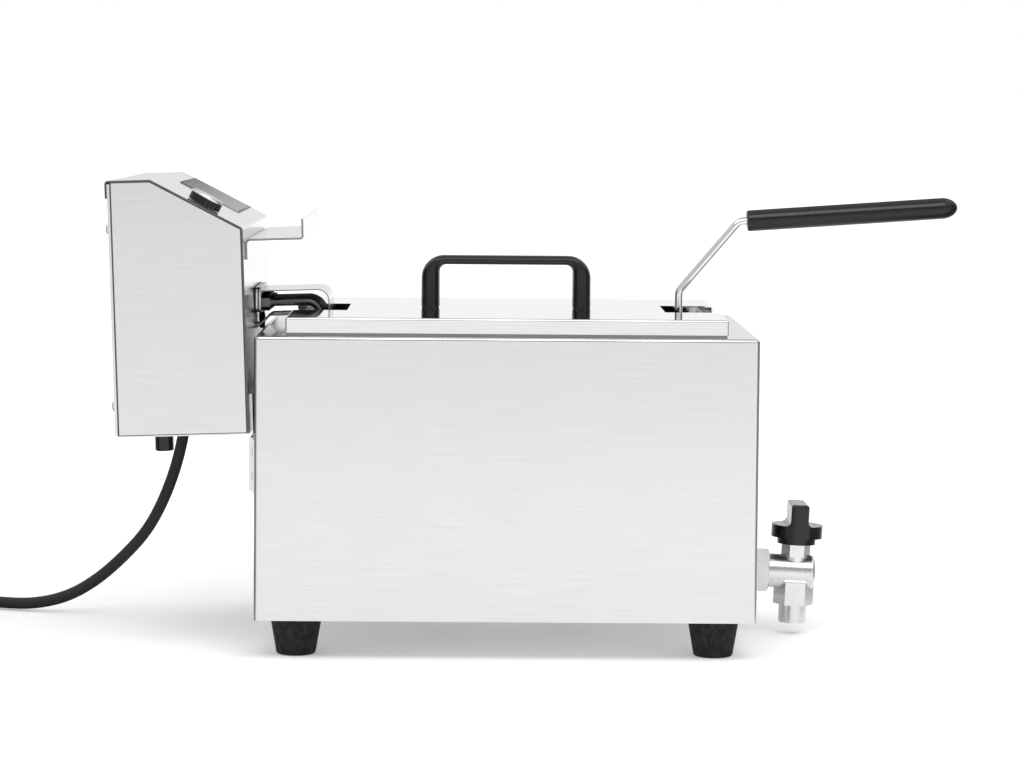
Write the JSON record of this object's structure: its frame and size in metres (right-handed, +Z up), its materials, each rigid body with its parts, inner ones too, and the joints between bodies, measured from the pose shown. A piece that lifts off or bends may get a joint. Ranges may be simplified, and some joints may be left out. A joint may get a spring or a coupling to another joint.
{
  "type": "deep fryer",
  "caption": "Stainless countertop electric deep fryer with lift-off lid, wire basket, hung control head with heater, drain tap and mains cord.",
  "frame": {"origin": "on the standing surface, under the middle of the object's box without its mains cord", "axes": "+Z up, +X from the control head to the drain tap, +Y to the side away from the viewer"},
  "size_m": [0.923, 0.3074, 0.3465],
  "materials": {
    "brushed_stainless": "fine horizontal brushing",
    "tank_stainless": "smooth drawn",
    "fastener_steel": "bright zinc",
    "foot_rubber": "matte",
    "seal_rubber": "matte",
    "tap_chrome": "polished nickel plate",
    "grip_black": "moulded satin black",
    "knob_trim": "satin",
    "shaft_steel": "machined",
    "overlay_grey": "satin film",
    "heater_steel": "heat-darkened",
    "basket_wire": "polished wire",
    "inner_plastic": "moulded",
    "cord_rubber": "matte",
    "pin_nickel": "nickel plate"
  },
  "bodies": {
    "body": {"body_shell": "brushed_stainless", "base_plate": "brushed_stainless", "oil_tank": "tank_stainless", "rear_ridge": "brushed_stainless", "head_bracket": "brushed_stainless", "bracket_rivets": "fastener_steel", "feet": "foot_rubber", "foot_screws": "fastener_steel", "drain_pipe": "tap_chrome", "nut_gasket": "seal_rubber", "lock_nut": "tap_chrome", "tap_body": "tap_chrome", "tap_bonnet": "tap_chrome"},
    "tap_grip": {"tap_plug": "tap_chrome", "tap_handle": "grip_black"},
    "thermostat_knob": {"knob": "grip_black", "knob_cap": "knob_trim", "knob_shaft": "shaft_steel"},
    "reset_button": {"reset_button": "shaft_steel"},
    "reset_cap": {"reset_cap": "grip_black"},
    "lid": {"lid_panel": "brushed_stainless", "lid_pads": "foot_rubber", "lid_handle": "grip_black", "lid_handle_pads": "seal_rubber", "lid_handle_screws": "fastener_steel"},
    "basket": {"mesh_bottom": "basket_wire", "mesh_ends": "basket_wire", "mesh_sides": "basket_wire", "basket_frame": "basket_wire", "basket_rod": "basket_wire", "basket_grip": "grip_black"},
    "head": {"case_wrap": "brushed_stainless", "case_side_left": "brushed_stainless", "case_side_right": "brushed_stainless", "rear_cover": "brushed_stainless", "bottom_cover": "brushed_stainless", "head_screws": "fastener_steel", "panel_overlay": "overlay_grey", "thermostat": "inner_plastic", "cutout": "inner_plastic", "terminal_block": "inner_plastic", "contactor": "inner_plastic", "hang_tongue": "brushed_stainless", "locating_peg": "foot_rubber", "basket_hanger": "brushed_stainless", "heater_gasket": "seal_rubber", "heater_flange": "heater_steel", "gland_nuts": "heater_steel", "heater_tubes": "heater_steel", "element_cover": "brushed_stainless", "capillaries": "heater_steel", "sensor_bulbs": "heater_steel", "clip_bars": "heater_steel", "cord_gland": "cord_rubber", "cord_run": "cord_rubber", "cord_coil": "cord_rubber", "cord_tie": "cord_rubber", "plug_body": "cord_rubber", "plug_pins": "pin_nickel"}
  },
  "joints": [
    {"name": "head_lift", "type": "slide", "parent": "body", "child": "head", "axis": [-0.0323, 0, 0.9995], "range_m": [0, 0.2]},
    {"name": "lid_lift", "type": "slide", "parent": "head", "child": "lid", "axis": [0.2873, 0, 0.9578], "range_m": [0, 0.5]},
    {"name": "basket_lift", "type": "slide", "parent": "head", "child": "basket", "axis": [0, 0, 1], "range_m": [0, 0.17]},
    {"name": "tap_turn", "type": "hinge", "parent": "body", "child": "tap_grip", "pos_m": [0.19613, 0, 0.04763], "axis": [0.0436, 0, 0.999], "range_deg": [-90, 0]},
    {"name": "thermostat_turn", "type": "hinge", "parent": "head", "child": "thermostat_knob", "pos_m": [-0.24666, -0.112, 0.32787], "axis": [0.4559, 0, 0.89], "range_deg": [0, 270]},
    {"name": "reset_press", "type": "slide", "parent": "head", "child": "reset_button", "axis": [-0.0323, 0, 0.9995], "range_m": [0, 0.002], "stiffness_N_per_m": 400, "springref_m": -0.001},
    {"name": "reset_cap_off", "type": "slide", "parent": "head", "child": "reset_cap", "axis": [0.0323, 0, -0.9995], "range_m": [0, 0.03]}
  ],
  "couplings": [
    {"joint": "basket_lift", "follows": "lid_lift", "ratio": 0.34}
  ]
}
